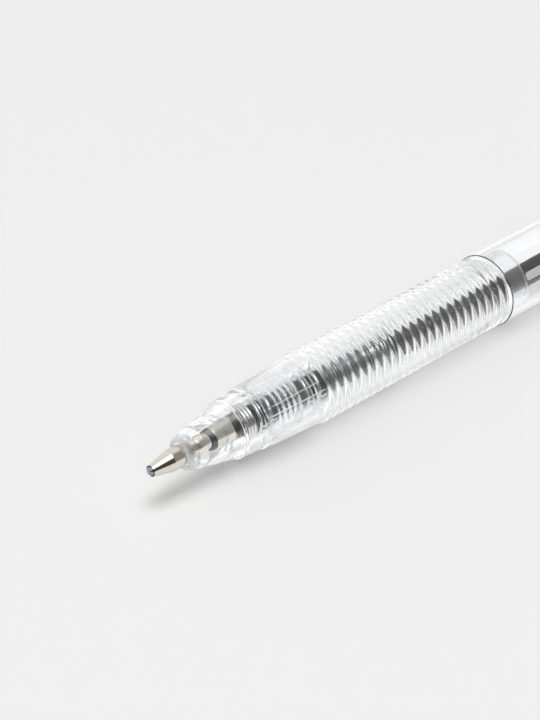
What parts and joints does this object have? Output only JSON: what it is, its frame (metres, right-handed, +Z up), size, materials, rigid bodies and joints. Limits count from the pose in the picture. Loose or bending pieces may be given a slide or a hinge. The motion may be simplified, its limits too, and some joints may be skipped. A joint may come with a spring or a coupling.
{
  "type": "retractable ballpoint pen",
  "caption": "Clear plastic retractable ballpoint pen with ringed grip, visible black refill and return spring, pocket clip and push button at the rear end.",
  "frame": {"origin": "middle of the pen's box, on the surface that the pen lies on", "axes": "+X along the pen from the writing ball to the push button, +Z up, clip on the +Y side and low enough to stop the pen from rolling"},
  "size_m": [0.1402, 0.0126, 0.0095],
  "materials": {
    "clear_nose": "clear moulded plastic, polished",
    "clear_grip": "clear moulded plastic with rounded grip rings",
    "clear_barrel": "clear thin-walled moulded plastic",
    "clip_plastic": "black moulded plastic, glossy",
    "collar_plastic": "black moulded plastic, glossy",
    "button_plastic": "black moulded plastic, glossy",
    "guide_plastic": "white slippery plastic",
    "rotor_plastic": "white slippery plastic",
    "rod_plastic": "black slippery plastic",
    "spring_steel": "drawn spring wire",
    "point_metal": "turned nickel silver",
    "holder_metal": "turned nickel silver",
    "ball_carbide": "polished dark carbide, wet with ink",
    "refill_plastic": "thin translucent extruded tube",
    "black_ink": "thick black oil ink",
    "follower_grease": "pale translucent grease"
  },
  "bodies": {
    "barrel": {"nose_cone": "clear_nose", "lower_barrel": "clear_grip", "upper_barrel": "clear_barrel", "cam_guide": "guide_plastic", "end_collar": "collar_plastic", "return_spring": "spring_steel"},
    "refill": {"refill_point": "point_metal", "point_holder": "holder_metal", "refill_tube": "refill_plastic", "ink_column": "black_ink", "ink_follower": "follower_grease"},
    "ball": {"writing_ball": "ball_carbide"},
    "rotor": {"index_rotor": "rotor_plastic"},
    "button": {"push_button": "button_plastic", "thrust_rod": "rod_plastic"},
    "clip": {"pocket_clip": "clip_plastic"}
  },
  "joints": [
    {"name": "button_slide", "type": "slide", "parent": "barrel", "child": "button", "axis": [1, 0, 0], "range_m": [-0.0009, 0.0058]},
    {"name": "refill_slide", "type": "slide", "parent": "barrel", "child": "refill", "axis": [1, 0, 0], "range_m": [-0.0009, 0.0058], "deforming": ["return_spring"]},
    {"name": "rotor_turn", "type": "hinge", "parent": "refill", "child": "rotor", "pos_m": [0.03408, -0.00148, 0.00477], "axis": [1, 0, 0], "range_deg": [-7.03, 45.05]},
    {"name": "ball_roll", "type": "hinge", "parent": "refill", "child": "ball", "pos_m": [-0.06947, -0.00148, 0.00477], "axis": [0, 1, 0], "continuous": true},
    {"name": "clip_flex", "type": "hinge", "parent": "barrel", "child": "clip", "pos_m": [0.05683, -0.00148, 0.00477], "axis": [0, -0.3766, -0.9264], "range_deg": [0, 3], "stiffness_Nm_per_rad": 1.5}
  ],
  "couplings": [
    {"joint": "refill_slide", "follows": "button_slide", "ratio": 1},
    {"joint": "rotor_turn", "follows": "button_slide", "rad_per_m": 135.41}
  ]
}
